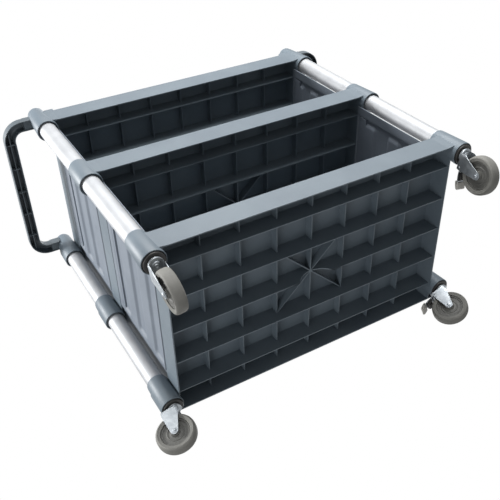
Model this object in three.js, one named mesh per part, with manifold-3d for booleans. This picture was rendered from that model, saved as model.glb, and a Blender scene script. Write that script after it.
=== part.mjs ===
// Three-shelf service and laundry cart: moulded shelves on tube posts, fluted end panels,
// a push handle at each end and four swivel casters, two of them with a foot brake.
// Millimetres, +Z up, floor at z = 0, handles at the -X and +X ends, open long side at -Y.
import * as THREE from 'three';
import { mergeVertices } from 'three/addons/utils/BufferGeometryUtils.js';
import Module from 'manifold-3d';

const wasm = await Module();
wasm.setup();

// overall layout
const postX = 429;
const postFrontY = -229;
const postBackY = 213;
const postMidY = (postFrontY + postBackY) / 2;
const shelfZ = [123, 493, 837];
const gap = 0.3;

// shelf moulding, measured up from the lower end of its corner collars
const rimX = 404;
const rimY = 250.5;
const rimLow = 13.4;
const rimTop = 79;
const wall = 3;
const deckLow = 69;
const deckTop = 72;
const ribThick = 2.6;
const longRibPitch = 96;
const longRibLow = 18;
const crossRibPitch = 100.5;
const crossRibLow = 46.5;
const ledgeHigh = 2;
const collarTop = 96;
const collarRadius = 30.7;
const domeTop = 136;
const domeRadius = 24.4;
const webLow = 46;
const webTop = 50;

// posts
const tubeRadius = 23.6;
const tubeWall = 1.6;
const socketRadius = tubeRadius + gap;

// handles
const gripX = 538;
const handleWidth = 31;
const handleRibPitch = 78;
const handleRibShift = -6;
const handleLow = 921;
const handleHigh = 949.5;
const armHalfSpan = 228;
const cornerRadius = 57;
const handleWall = 2.6;

// end panels
const panelSkin = 2.5;
const panelBase = 397.8;
const panelFace = 403.7;
const panelFrontY = -221;
const panelBackY = 244;
const fieldFrontY = -196;
const fieldBackY = 178;
const fluteFrontY = -183;
const fluteBackY = 165;
const fluteSlope = 12;
const fluteSets = [
  { centres: [243, 348, 453], half: 29 },
  { centres: [660, 740, 818], half: 26 },
];

// casters
const wheelRadius = 50;
const wheelHalf = 14;
const trail = 26.5;
const legInner = 16;
const legOuter = 18.5;
const crownLow = 112;
const crownHigh = 115.5;
const pinRadius = 5.7;

// ---------- solid helpers ----------
function toSolid(geometry) {
  const bare = geometry.index ? geometry.toNonIndexed() : geometry.clone();
  bare.deleteAttribute('normal');
  bare.deleteAttribute('uv');
  const merged = mergeVertices(bare, 1e-3);
  const index = merged.index.array;
  const kept = [];
  for (let i = 0; i < index.length; i += 3) {
    const [a, b, c] = [index[i], index[i + 1], index[i + 2]];
    if (a !== b && b !== c && a !== c) kept.push(a, b, c);
  }
  const mesh = new wasm.Mesh({
    numProp: 3,
    vertProperties: new Float32Array(merged.attributes.position.array),
    triVerts: new Uint32Array(kept),
  });
  return new wasm.Manifold(mesh);
}

function toGeometry(solid) {
  const mesh = solid.getMesh();
  const geometry = new THREE.BufferGeometry();
  const places = new Float32Array(mesh.numVert * 3);
  for (let i = 0; i < mesh.numVert; i += 1) {
    for (let k = 0; k < 3; k += 1) places[3 * i + k] = mesh.vertProperties[mesh.numProp * i + k];
  }
  geometry.setAttribute('position', new THREE.BufferAttribute(places, 3));
  geometry.setIndex(new THREE.BufferAttribute(new Uint32Array(mesh.triVerts), 1));
  geometry.computeVertexNormals();
  return geometry;
}

function boxBetween(x0, x1, y0, y1, z0, z1) {
  const box = new THREE.BoxGeometry(x1 - x0, y1 - y0, z1 - z0);
  box.translate((x0 + x1) / 2, (y0 + y1) / 2, (z0 + z1) / 2);
  return toSolid(box);
}

// upright cylinder or cone between two heights
function drum(x, y, z0, z1, lowRadius, highRadius = lowRadius, sides = 18) {
  const body = new THREE.CylinderGeometry(highRadius, lowRadius, z1 - z0, sides);
  body.rotateX(Math.PI / 2);
  body.translate(x, y, (z0 + z1) / 2);
  return toSolid(body);
}

// cylinder lying along Y
function rod(x, z, y0, y1, radius, sides = 12) {
  const body = new THREE.CylinderGeometry(radius, radius, y1 - y0, sides);
  body.translate(x, (y0 + y1) / 2, z);
  return toSolid(body);
}

// outline in the XY plane pushed up between two heights
function slab(outline, z0, z1) {
  const body = new THREE.ExtrudeGeometry(outline, { depth: z1 - z0, bevelEnabled: false, curveSegments: 7 });
  body.translate(0, 0, z0);
  return toSolid(body);
}

// outline in the XZ plane pushed along Y
function sidePlate(outline, y0, y1) {
  const body = new THREE.ExtrudeGeometry(outline, { depth: y1 - y0, bevelEnabled: false, curveSegments: 5 });
  body.rotateX(Math.PI / 2);
  body.translate(0, y1, 0);
  return toSolid(body);
}

// closed profile turned about the Z axis; points are (radius, height)
function turned(points, sides = 18) {
  const body = new THREE.LatheGeometry(points.map(([r, z]) => new THREE.Vector2(r, z)), sides);
  body.rotateX(Math.PI / 2);
  return toSolid(body);
}

// closed profile turned about the Y axis; points are (radius, y)
function wheelTurned(points, sides = 22) {
  return toSolid(new THREE.LatheGeometry(points.map(([r, y]) => new THREE.Vector2(r, y)), sides));
}

function union(solids) {
  return solids.reduce((whole, next) => whole.add(next));
}

function polygon(points) {
  return new THREE.Shape(points.map(([x, y]) => new THREE.Vector2(x, y)));
}

// ---------- materials ----------
const finishes = {
  shelfPlastic: { color: 0x8f979d, roughness: 0.62, metalness: 0 },
  handlePlastic: { color: 0x8d9498, roughness: 0.6, metalness: 0 },
  panelPlastic: { color: 0x8a8d94, roughness: 0.65, metalness: 0 },
  postMetal: { color: 0xdcdde0, roughness: 0.3, metalness: 1 },
  blackPlastic: { color: 0x141312, roughness: 0.55, metalness: 0 },
  zincSteel: { color: 0xd4d8d8, roughness: 0.28, metalness: 1 },
  tyreRubber: { color: 0x85817a, roughness: 0.7, metalness: 0 },
  corePlastic: { color: 0x6c6b68, roughness: 0.6, metalness: 0 },
  tipPlastic: { color: 0xb2b0aa, roughness: 0.45, metalness: 0 },
};

const cart = new THREE.Group();
cart.name = 'laundry_cart';

function place(parent, name, finish, solid) {
  const mesh = new THREE.Mesh(toGeometry(solid), new THREE.MeshStandardMaterial(finishes[finish]));
  mesh.name = name;
  parent.add(mesh);
  return mesh;
}

// ---------- shelves ----------
const corners = [
  { tag: 'front_left', x: -postX, y: postFrontY },
  { tag: 'back_left', x: -postX, y: postBackY },
  { tag: 'front_right', x: postX, y: postFrontY },
  { tag: 'back_right', x: postX, y: postBackY },
];

// collar skin: drafted cone with a rounded shoulder, or a closed dome on the top shelf
function collarSolid(corner, domed) {
  const profile = [[0, 0], [collarRadius, 0], [27.4, 90], [25.6, collarTop], [0, collarTop]];
  const domeBase = domeTop - domeRadius;
  const dome = [[0, 0], [collarRadius, 0], [domeRadius, domeBase]];
  for (let step = 1; step < 4; step += 1) {
    const angle = (step / 4) * (Math.PI / 2);
    dome.push([domeRadius * Math.cos(angle), domeBase + domeRadius * Math.sin(angle)]);
  }
  dome.push([0, domeTop]);
  return turned(domed ? dome : profile).translate([corner.x, corner.y, 0]);
}

// flare that carries the long rim into the collar
function flareSolid(corner) {
  const side = Math.sign(corner.x);
  const front = corner.y < 0;
  const points = front
    ? [[side * 430, -255.5], [side * 350, -rimY + 0.6], [side * 350, -rimY + 2], [side * 430, -rimY + 2]]
    : [[side * 424, rimY - 0.5], [side * 440, rimY - 5], [side * 450, rimY - 15], [side * 455, postBackY + 8],
      [side * 455, postBackY - 2], [side * 424, postBackY - 2]];
  const ordered = side > 0 === front ? points.slice().reverse() : points;
  return slab(polygon(ordered), rimLow, rimTop - 2);
}

function shelfSolid(level) {
  const domed = level === 2;
  const parts = [];
  parts.push(boxBetween(-rimX, rimX, -rimY, rimY, deckLow, deckTop));
  parts.push(boxBetween(-postX, postX, -rimY, -rimY + wall, rimLow, rimTop));
  parts.push(boxBetween(-postX, postX, rimY - wall, rimY, rimLow, rimTop));
  parts.push(boxBetween(-rimX, -rimX + wall, -rimY, rimY, rimLow, rimTop));
  parts.push(boxBetween(rimX - wall, rimX, -rimY, rimY, rimLow, rimTop));
  for (let row = -2; row <= 2; row += 1) {
    const y = row * longRibPitch;
    parts.push(boxBetween(-rimX + 1, rimX - 1, y - ribThick / 2, y + ribThick / 2, longRibLow, deckLow + 1));
  }
  for (let column = -3; column <= 3; column += 1) {
    const x = column * crossRibPitch;
    parts.push(boxBetween(x - ribThick / 2, x + ribThick / 2, -rimY + 1, rimY - 1, crossRibLow, deckLow + 1));
  }
  corners.forEach((corner) => {
    parts.push(collarSolid(corner, domed));
    parts.push(flareSolid(corner));
    const side = Math.sign(corner.x);
    const y0 = corner.y < 0 ? -rimY + 1 : 200;
    const y1 = corner.y < 0 ? -210 : rimY - 1;
    const x0 = side > 0 ? rimX - 2 : -postX;
    parts.push(boxBetween(x0, x0 + postX - rimX + 2, y0, y1, deckLow, deckTop));
    if (domed) {
      const shoulder = side > 0 ? 384 : -412;
      const lip = corner.y < 0 ? -rimY : rimY - 16;
      parts.push(boxBetween(shoulder, shoulder + 28, lip, lip + 16, deckTop - 1, 93));
    }
  });
  // ledges that carry the end panels
  if (!domed) {
    parts.push(boxBetween(-rimX + 2, -386, -rimY + 1, rimY - 1, deckTop - 1, deckTop + ledgeHigh));
    parts.push(boxBetween(386, rimX - 2, -rimY + 1, rimY - 1, deckTop - 1, deckTop + ledgeHigh));
  }
  let shelf = union(parts);
  const armLength = Math.hypot(crossRibPitch, longRibPitch);
  const armTurn = THREE.MathUtils.radToDeg(Math.atan2(longRibPitch, crossRibPitch));
  const arm = boxBetween(-armLength, armLength, -ribThick / 2, ribThick / 2, crossRibLow, deckLow + 1);
  shelf = shelf.add(arm.rotate([0, 0, armTurn])).add(arm.rotate([0, 0, -armTurn]));
  // the middle long rib arches up to the star of diagonal ribs
  shelf = shelf.subtract(rod(0, -11.6, -6, 6, 58.1, 24));
  corners.forEach((corner) => {
    const lowBore = drum(corner.x, corner.y, -1, webLow, socketRadius);
    const mouth = drum(corner.x, corner.y, -1, 7, 28.3, 27.3);
    shelf = shelf.subtract(lowBore.add(mouth));
    if (!domed) shelf = shelf.subtract(drum(corner.x, corner.y, webTop, collarTop + 1, socketRadius));
    if (domed) {
      const side = Math.sign(corner.x);
      const y = armY(corner);
      const pocket = boxBetween(-9, 9, y - 8 - gap, y + 8 + gap, 88 - gap, 102 + gap);
      shelf = shelf.subtract(pocket.translate([side * 449, 0, 0]));
    }
  });
  return shelf.translate([0, 0, shelfZ[level]]);
}

function armY(corner) {
  return corner.y < postMidY
    ? postMidY - armHalfSpan + handleWidth / 2
    : postMidY + armHalfSpan - handleWidth / 2;
}

place(cart, 'bottom_shelf', 'shelfPlastic', shelfSolid(0));
place(cart, 'middle_shelf', 'shelfPlastic', shelfSolid(1));
place(cart, 'top_shelf', 'shelfPlastic', shelfSolid(2));

// ---------- posts ----------
corners.forEach((corner) => {
  [['lower', 0], ['upper', 1]].forEach(([tier, level]) => {
    const z0 = shelfZ[level] + webTop + gap;
    const z1 = shelfZ[level + 1] + webLow - gap;
    const tube = drum(corner.x, corner.y, z0, z1, tubeRadius)
      .subtract(drum(corner.x, corner.y, z0 - 1, z1 + 1, tubeRadius - tubeWall));
    place(cart, `post_${tier}_${corner.tag}`, 'postMetal', tube);
  });
});

// ---------- end panels ----------
// thin sheet that stands on the shelf ledge, with a raised field and flutes pressed back into it
function panelSolid(level) {
  const z0 = shelfZ[level] + deckTop + ledgeHigh + gap;
  const z1 = shelfZ[level + 1] + longRibLow - gap;
  const field0 = shelfZ[level] + rimTop + 7;
  const field1 = shelfZ[level + 1] + rimLow - gap - 0.1;
  const { centres, half } = fluteSets[level];
  const steep = fluteSlope / (panelFace - panelBase);
  const hollowX = panelFace - panelSkin;
  const backX = panelBase - panelSkin;
  let panel = boxBetween(-panelBase, -backX, panelFrontY, panelBackY, z0, z1);
  panel = panel.add(boxBetween(-panelFace, -panelBase + 1, fieldFrontY, fieldBackY, field0, field1));
  let cavity = boxBetween(-hollowX, -backX + 1, fieldFrontY + 3, fieldBackY - 3, field0 + 3, field1 - 36);
  centres.forEach((mid) => {
    const wide = half + steep;
    const narrow = half - fluteSlope;
    const cut = polygon([[-panelFace - 1, mid + wide], [-panelFace - 1, mid - wide],
      [-panelBase, mid - narrow], [-panelBase, mid + narrow]]);
    const keep = polygon([[-hollowX - 1, mid + wide + 1.2], [-hollowX - 1, mid - wide - 1.2],
      [-backX + 1, mid - narrow + steep - 1.2], [-backX + 1, mid + narrow - steep + 1.2]]);
    panel = panel.subtract(sidePlate(cut, fluteFrontY, fluteBackY));
    cavity = cavity.subtract(sidePlate(keep, fluteFrontY - 3, fluteBackY + 3));
  });
  return panel.subtract(cavity);
}

[['lower', 0], ['upper', 1]].forEach(([tier, level]) => {
  place(cart, `panel_${tier}_left`, 'panelPlastic', panelSolid(level));
  place(cart, `panel_${tier}_right`, 'panelPlastic', panelSolid(level).mirror([1, 0, 0]));
});

// ---------- handles ----------
function handleOutline(inset) {
  const reach = gripX - inset;
  const half = armHalfSpan - inset;
  const outerRound = cornerRadius - inset;
  const width = handleWidth - 2 * inset;
  const innerRound = Math.max(outerRound - width, 1);
  const root = -postX + 2;
  const outline = new THREE.Shape();
  outline.moveTo(root, -half);
  outline.lineTo(-reach + outerRound, -half);
  outline.absarc(-reach + outerRound, -half + outerRound, outerRound, -Math.PI / 2, -Math.PI, true);
  outline.lineTo(-reach, half - outerRound);
  outline.absarc(-reach + outerRound, half - outerRound, outerRound, Math.PI, Math.PI / 2, true);
  outline.lineTo(root, half);
  outline.lineTo(root, half - width);
  outline.lineTo(-reach + outerRound, half - width);
  outline.absarc(-reach + outerRound, half - outerRound, innerRound, Math.PI / 2, Math.PI, false);
  outline.lineTo(-reach + width, -half + outerRound);
  outline.absarc(-reach + outerRound, -half + outerRound, innerRound, Math.PI, Math.PI * 1.5, false);
  outline.lineTo(root, -half + width);
  return outline;
}

function handleSolid() {
  const round = 8;
  const shell = new THREE.ExtrudeGeometry(handleOutline(0), {
    depth: handleHigh - handleLow - round + 10,
    bevelEnabled: true,
    bevelThickness: round,
    bevelSize: round,
    bevelOffset: -round,
    bevelSegments: 1,
    curveSegments: 5,
  });
  shell.translate(0, 0, handleLow - 10);
  let handle = toSolid(shell);
  handle = handle.subtract(boxBetween(-600, -300, -300, 300, handleLow - 40, handleLow));
  const channel = new THREE.ExtrudeGeometry(handleOutline(handleWall), {
    depth: handleHigh - handleLow - handleWall + 5,
    bevelEnabled: false,
    curveSegments: 5,
  });
  channel.translate(0, 0, handleLow - 5);
  // ribs left standing inside the channel: one lengthwise, five across the grip
  const spineX = -gripX + handleWidth / 2;
  let ribs = boxBetween(spineX - 1, spineX + 1, -armHalfSpan + 20, armHalfSpan - 20, handleLow + 6, handleHigh);
  for (let step = -2; step <= 2; step += 1) {
    const y = handleRibShift + step * handleRibPitch;
    ribs = ribs.add(boxBetween(-gripX, -gripX + handleWidth, y - 1, y + 1, handleLow + 6, handleHigh));
  }
  handle = handle.subtract(toSolid(channel).subtract(ribs));
  // solid arm roots with a tenon that enters the domed collar
  const rootLow = shelfZ[2] + 88;
  const rootHigh = shelfZ[2] + 102;
  for (const side of [-1, 1]) {
    const y = side * (armHalfSpan - handleWidth / 2);
    handle = handle.add(boxBetween(-474, -postX + 2, y - 14.5, y + 14.5, handleLow + 4, handleHigh - 6));
    const post = side * (postBackY - postFrontY) / 2;
    const cut = drum(-postX, post, handleLow - 60, handleHigh + 60, 29.6, 25.6);
    handle = handle.subtract(cut.add(boxBetween(-postX, -300, post - 40, post + 40, 800, 1000)));
    handle = handle.add(boxBetween(-462, -441, y - 8, y + 8, rootLow, rootHigh));
  }
  return handle.translate([0, postMidY, 0]);
}

place(cart, 'left_handle', 'handlePlastic', handleSolid());
const mirrored = handleSolid().translate([0, -postMidY, 0]).rotate([0, 0, 180]).translate([0, postMidY, 0]);
place(cart, 'right_handle', 'handlePlastic', mirrored);

// ---------- casters ----------
const casters = [
  { tag: 'front_left', x: -postX, y: postFrontY, turn: 83, brake: false },
  { tag: 'back_left', x: -postX, y: postBackY, turn: 165, brake: false },
  { tag: 'front_right', x: postX, y: postFrontY, turn: 101, brake: true },
  { tag: 'back_right', x: postX, y: postBackY, turn: 157, brake: true },
];

function bushSolid() {
  const z = shelfZ[0];
  const sleeve = drum(0, 0, z, z + webLow - gap, socketRadius - gap);
  const flange = drum(0, 0, z - 4, z + 4, 26.4, 27.2);
  return sleeve.add(flange).subtract(drum(0, 0, z - 5, z + webLow + 1, pinRadius + gap, pinRadius + gap, 12));
}

function stemSolid() {
  const z = shelfZ[0];
  const pin = drum(0, 0, crownHigh + gap, z + 40, pinRadius, pinRadius, 12);
  const race = turned([[0, crownHigh + gap], [17, crownHigh + gap], [18, crownHigh + 1.6], [16, z - 4 - gap],
    [0, z - 4 - gap]]);
  return pin.add(race).subtract(drum(0, 0, crownHigh - 1, crownHigh + 6, 4.1 + gap, 4.1 + gap, 12));
}

function kingpinSolid() {
  const head = turned([[0, crownLow - 4.4], [4.4, crownLow - 4.4], [5.2, crownLow - 2.8], [9.6, crownLow - 2.8],
    [10.4, crownLow - gap], [0, crownLow - gap]], 12);
  return head.add(drum(0, 0, crownLow - 1, crownHigh + 5.4, 4.1, 4.1, 12));
}

function forkSolid(brake) {
  const crown = new THREE.Shape();
  crown.moveTo(0, -legOuter);
  crown.lineTo(34, -legOuter);
  crown.lineTo(34, legOuter);
  crown.lineTo(0, legOuter);
  crown.absarc(0, 0, legOuter, Math.PI / 2, Math.PI * 1.5, false);
  const leg = new THREE.Shape();
  leg.moveTo(-9, crownHigh);
  leg.lineTo(34, crownHigh);
  leg.lineTo(36, crownHigh - 7);
  leg.lineTo(trail + 10, wheelRadius + 2);
  leg.absarc(trail, wheelRadius, 10, 0.1, -Math.PI + 0.5, true);
  leg.lineTo(-9, crownHigh - 12);
  let fork = slab(crown, crownLow, crownHigh);
  fork = fork.add(sidePlate(leg, legInner, legOuter)).add(sidePlate(leg, -legOuter, -legInner));
  fork = fork.subtract(rod(trail, wheelRadius, -legOuter - 1, legOuter + 1, pinRadius + gap));
  fork = fork.subtract(drum(0, 0, crownLow - 1, crownHigh + 1, 4.1 + gap, 4.1 + gap, 12));
  if (brake) fork = fork.subtract(rod(brakePivotX, brakePivotZ, -legOuter - 1, legOuter + 1, 2.7));
  return fork;
}

function tyreSolid() {
  const half = wheelHalf;
  const shape = [[36, -half], [44.5, -half], [wheelRadius, -half + 6], [wheelRadius, half - 6], [44.5, half],
    [36, half]];
  shape.push(shape[0]);
  return wheelTurned(shape);
}

function coreSolid() {
  const rim = 36 - gap;
  const half = wheelHalf - 3;
  const bore = pinRadius + 0.1;
  const shape = [[bore, -half - 3], [11.5, -half - 3], [13, -4], [32, -4], [32, -half], [rim, -half],
    [rim, half], [32, half], [32, 4], [13, 4], [11.5, half + 3], [bore, half + 3]];
  shape.push(shape[0]);
  return wheelTurned(shape);
}

function axleSolid() {
  const reach = legOuter + gap;
  const shaft = rod(0, 0, -reach - 1, reach + 1, pinRadius, 22);
  const head = rod(0, 0, reach, reach + 3.4, 8.4, 6);
  const nut = rod(0, 0, -reach - 3.4, -reach, 8.4, 6);
  return shaft.add(head).add(nut);
}

// brake lever: zinc blade hinged between the fork legs, black shoe below, grey toe tip
const brakePivotX = 28;
const brakePivotZ = 106;
const toeX = 70;

function leverSolid() {
  const blade = polygon([[24, 109], [32, 110.5], [52, 109.5], [toeX + 4, 104], [toeX + 3.4, 101.5],
    [50, 107], [36, 107.2], [32, 102.8], [25, 102.4]]);
  const reach = legInner - gap;
  let lever = sidePlate(blade, -11, 11);
  lever = lever.add(rod(brakePivotX, brakePivotZ, -reach, reach, 3.6));
  lever = lever.add(rod(brakePivotX, brakePivotZ, -legOuter - 0.8, legOuter + 0.8, 2.6));
  return lever;
}

function shoeSolid() {
  const outline = polygon([[45, 107 - gap], [47, 97.6], [58, 95], [62, 96.6], [64.5, 102.7 - gap],
    [50.1, 106.7 - gap]]);
  return sidePlate(outline, -12.5, 12.5);
}

function tipSolid() {
  const outline = polygon([[toeX - 4, 106.4 + gap], [toeX + 4 + gap, 104 + gap], [toeX + 3.7 + gap, 101.3 - gap],
    [toeX - 2, 102.8 - gap], [toeX - 1, 99.5], [toeX + 14, 94.5], [toeX + 18, 96], [toeX + 17.5, 101],
    [toeX + 6, 107.5], [toeX - 3.4, 109.6]]);
  return sidePlate(outline, -13, 13);
}

casters.forEach((caster) => {
  const stand = new THREE.Group();
  stand.name = `stand_${caster.tag}`;
  stand.position.set(caster.x, caster.y, 0);
  cart.add(stand);
  place(stand, `bush_${caster.tag}`, 'blackPlastic', bushSolid());
  place(stand, `stem_${caster.tag}`, 'zincSteel', stemSolid());
  place(stand, `kingpin_${caster.tag}`, 'zincSteel', kingpinSolid());
  const swivel = new THREE.Group();
  swivel.name = `swivel_${caster.tag}`;
  swivel.rotation.z = THREE.MathUtils.degToRad(caster.turn);
  stand.add(swivel);
  place(swivel, `fork_${caster.tag}`, 'zincSteel', forkSolid(caster.brake));
  const wheel = new THREE.Group();
  wheel.name = `wheel_${caster.tag}`;
  wheel.position.set(trail, 0, wheelRadius);
  swivel.add(wheel);
  place(wheel, `tyre_${caster.tag}`, 'tyreRubber', tyreSolid());
  place(wheel, `core_${caster.tag}`, 'corePlastic', coreSolid());
  place(wheel, `axle_${caster.tag}`, 'zincSteel', axleSolid());
  if (caster.brake) {
    place(swivel, `lever_${caster.tag}`, 'zincSteel', leverSolid());
    place(swivel, `shoe_${caster.tag}`, 'blackPlastic', shoeSolid());
    place(swivel, `tip_${caster.tag}`, 'tipPlastic', tipSolid());
  }
});

export default cart;
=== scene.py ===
import math

import bmesh
import bpy
from mathutils import Matrix, Vector


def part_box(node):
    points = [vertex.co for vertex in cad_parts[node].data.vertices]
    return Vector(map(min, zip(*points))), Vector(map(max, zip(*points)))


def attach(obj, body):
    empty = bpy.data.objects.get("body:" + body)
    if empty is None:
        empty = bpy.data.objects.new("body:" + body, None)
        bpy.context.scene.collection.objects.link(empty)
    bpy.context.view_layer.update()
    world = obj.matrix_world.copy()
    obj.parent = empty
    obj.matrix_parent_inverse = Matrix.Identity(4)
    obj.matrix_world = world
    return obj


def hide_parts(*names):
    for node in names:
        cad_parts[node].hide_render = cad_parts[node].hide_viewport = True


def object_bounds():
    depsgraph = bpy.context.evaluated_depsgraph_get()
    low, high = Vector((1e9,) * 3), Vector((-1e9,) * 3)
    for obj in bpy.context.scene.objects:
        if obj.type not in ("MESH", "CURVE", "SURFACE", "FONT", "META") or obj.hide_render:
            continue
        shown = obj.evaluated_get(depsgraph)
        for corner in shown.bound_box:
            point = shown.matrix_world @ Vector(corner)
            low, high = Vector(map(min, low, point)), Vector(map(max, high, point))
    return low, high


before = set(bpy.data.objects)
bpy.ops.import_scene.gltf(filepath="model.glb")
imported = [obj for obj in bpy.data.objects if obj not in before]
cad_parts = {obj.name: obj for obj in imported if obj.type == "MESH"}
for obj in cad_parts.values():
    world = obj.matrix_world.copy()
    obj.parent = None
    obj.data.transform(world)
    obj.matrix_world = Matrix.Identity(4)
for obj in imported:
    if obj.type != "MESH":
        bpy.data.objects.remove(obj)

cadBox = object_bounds()
metre = 0.001  # every shape below is drawn in millimetres and shrunk to metres at the end
scene = bpy.context.scene

cornerTags = ("front_left", "back_left", "front_right", "back_right")
brakeTags = ("front_right", "back_right")


def nodeBox(node):
    low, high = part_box(node)
    return low / metre, high / metre


def nodeCentre(node):
    low, high = nodeBox(node)
    return (low + high) / 2


postPlace = {tag: nodeCentre("post_lower_" + tag) for tag in cornerTags}
shelfBase = [nodeBox(name)[0].z for name in ("bottom_shelf", "middle_shelf", "top_shelf")]
print("frame loaded,", len(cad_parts), "nodes")


# ---- shared modelling steps ----

def vertsOf(geom):
    return [item for item in geom if isinstance(item, bmesh.types.BMVert)]


def edgesOf(geom):
    return [item for item in geom if isinstance(item, bmesh.types.BMEdge)]


def block(bm, low, high, rounding=0, segments=2):
    made = bmesh.ops.create_cube(bm, size=1)["verts"]
    size = [high[k] - low[k] for k in range(3)]
    middle = [(high[k] + low[k]) / 2 for k in range(3)]
    bmesh.ops.scale(bm, vec=size, verts=made)
    bmesh.ops.translate(bm, vec=middle, verts=made)
    if rounding:
        edges = list(dict.fromkeys(edge for vert in made for edge in vert.link_edges))
        bmesh.ops.bevel(bm, geom=edges, offset=rounding, segments=segments, affect="EDGES",
                        profile=0.5, material=-1)


def lathe(bm, profile, centre=(0, 0, 0), axis="Z", steps=64, closed=False):
    # profile holds (radius, height) pairs, height running along the axis
    own = bmesh.new()
    verts = [own.verts.new((radius, 0, height)) for radius, height in profile]
    pairs = list(zip(verts, verts[1:])) + ([(verts[-1], verts[0])] if closed else [])
    edges = [own.edges.new(pair) for pair in pairs]
    bmesh.ops.spin(own, geom=verts + edges, cent=(0, 0, 0), axis=(0, 0, 1), dvec=(0, 0, 0),
                   angle=math.tau, steps=steps, use_merge=True)
    bmesh.ops.remove_doubles(own, verts=own.verts, dist=1e-4)
    bmesh.ops.dissolve_degenerate(own, edges=own.edges, dist=1e-5)
    bmesh.ops.recalc_face_normals(own, faces=own.faces)
    if axis == "Y":
        bmesh.ops.rotate(own, verts=own.verts, cent=(0, 0, 0),
                         matrix=Matrix.Rotation(-math.pi / 2, 3, "X"))
    bmesh.ops.translate(own, verts=own.verts, vec=centre)
    pour(own, bm)


def plate(bm, outline, low, high, facing="Y", rounding=0, segments=2):
    # outline in the XZ plane pushed along Y, or in the XY plane pushed along Z
    own = bmesh.new()
    if facing == "Y":
        verts = [own.verts.new((a, low, b)) for a, b in outline]
        push = (0, high - low, 0)
    else:
        verts = [own.verts.new((a, b, low)) for a, b in outline]
        push = (0, 0, high - low)
    face = own.faces.new(verts)
    raised = bmesh.ops.extrude_face_region(own, geom=[face])["geom"]
    bmesh.ops.translate(own, vec=push, verts=vertsOf(raised))
    bmesh.ops.recalc_face_normals(own, faces=own.faces)
    if rounding:
        sharp = [edge for edge in own.edges if edge.calc_face_angle(0) > 0.5]
        bmesh.ops.bevel(own, geom=sharp, offset=rounding, segments=segments, affect="EDGES",
                        profile=0.5, material=-1)
    pour(own, bm)


def pour(source, target):
    # moves everything in one bmesh into another
    carrier = bpy.data.meshes.new("carrier")
    source.to_mesh(carrier)
    source.free()
    target.from_mesh(carrier)
    bpy.data.meshes.remove(carrier)


def arc(centreA, centreB, radius, start, end, steps):
    turns = [math.radians(start + (end - start) * step / steps) for step in range(steps + 1)]
    return [(centreA + radius * math.cos(turn), centreB + radius * math.sin(turn)) for turn in turns]


def combine(base, tool, operation):
    # exact boolean of two bmeshes, both used up
    held = []
    for number, source in enumerate((base, tool)):
        mesh = bpy.data.meshes.new("solid")
        source.to_mesh(mesh)
        source.free()
        held.append(bpy.data.objects.new("solid", mesh))
        scene.collection.objects.link(held[number])
    cut = held[0].modifiers.new("cut", "BOOLEAN")
    cut.operation = operation
    cut.solver = "EXACT"
    cut.object = held[1]
    graph = bpy.context.evaluated_depsgraph_get()
    result = bpy.data.meshes.new_from_object(held[0].evaluated_get(graph))
    out = bmesh.new()
    out.from_mesh(result)
    for thing in held:
        mesh = thing.data
        bpy.data.objects.remove(thing)
        bpy.data.meshes.remove(mesh)
    bpy.data.meshes.remove(result)
    return out


def added(base, draw, *values):
    # draws one more shape and fuses it onto the base
    single = bmesh.new()
    draw(single, *values)
    return combine(base, single, "UNION") if base.verts else single


def copyOf(bm, matrix=None):
    twin = bm.copy()
    if matrix is not None:
        bmesh.ops.transform(twin, matrix=matrix, verts=twin.verts)
        if matrix.determinant() < 0:
            bmesh.ops.reverse_faces(twin, faces=twin.faces)
    return twin


def finish(name, bm, look, body, nodes, smoothAngle=32, even=True, flatWalls=False):
    bmesh.ops.scale(bm, vec=(metre, metre, metre), verts=bm.verts)
    mesh = bpy.data.meshes.new(name)
    bm.to_mesh(mesh)
    bm.free()
    mesh.shade_smooth()
    mesh.set_sharp_from_angle(angle=math.radians(smoothAngle))
    if flatWalls:
        # big straight walls shade flat, only the rounded parts stay smooth
        for face in mesh.polygons:
            square = max(abs(part) for part in face.normal) > 0.99999
            upright = abs(face.normal.z) < 1e-4 and face.area > 1e-4
            face.use_smooth = not (square or upright)
    mesh.materials.append(look)
    piece = bpy.data.objects.new(name, mesh)
    scene.collection.objects.link(piece)
    if even:
        shading = piece.modifiers.new("even shading", "WEIGHTED_NORMAL")
        shading.keep_sharp = True
    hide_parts(*nodes)
    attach(piece, body)
    return piece


# ---- materials ----

def tone(red, green, blue):
    # screen colour, 0 to 255, as linear light
    def linear(value):
        part = value / 255
        return part / 12.92 if part <= 0.04045 else ((part + 0.055) / 1.055) ** 2.4
    return (linear(red), linear(green), linear(blue), 1)


def startGroup(name, inputs, outputs):
    group = bpy.data.node_groups.new(name, "ShaderNodeTree")
    for label, kind, value in inputs:
        socket = group.interface.new_socket(name=label, in_out="INPUT", socket_type=kind)
        if value is not None:
            socket.default_value = value
    for label, kind in outputs:
        group.interface.new_socket(name=label, in_out="OUTPUT", socket_type=kind)
    return group, group.nodes.new("NodeGroupInput"), group.nodes.new("NodeGroupOutput")


def addNode(tree, kind, values=None, **settings):
    node = tree.nodes.new(kind)
    for key, value in settings.items():
        setattr(node, key, value)
    for label, value in (values or {}).items():
        node.inputs[label].default_value = value
    return node


def mathNode(tree, operation, first, second, clamp=False):
    node = addNode(tree, "ShaderNodeMath", operation=operation, use_clamp=clamp)
    for index, value in enumerate((first, second)):
        if isinstance(value, (int, float)):
            node.inputs[index].default_value = value
        else:
            tree.links.new(value, node.inputs[index])
    return node.outputs[0]


def mixColour(tree, factor, first, second, blend="MIX"):
    node = addNode(tree, "ShaderNodeMix", data_type="RGBA", blend_type=blend)
    for socket, value in ((node.inputs[0], factor), (node.inputs[6], first), (node.inputs[7], second)):
        if isinstance(value, (int, float, tuple)):
            socket.default_value = value
        else:
            tree.links.new(value, socket)
    return node.outputs[2]


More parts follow.
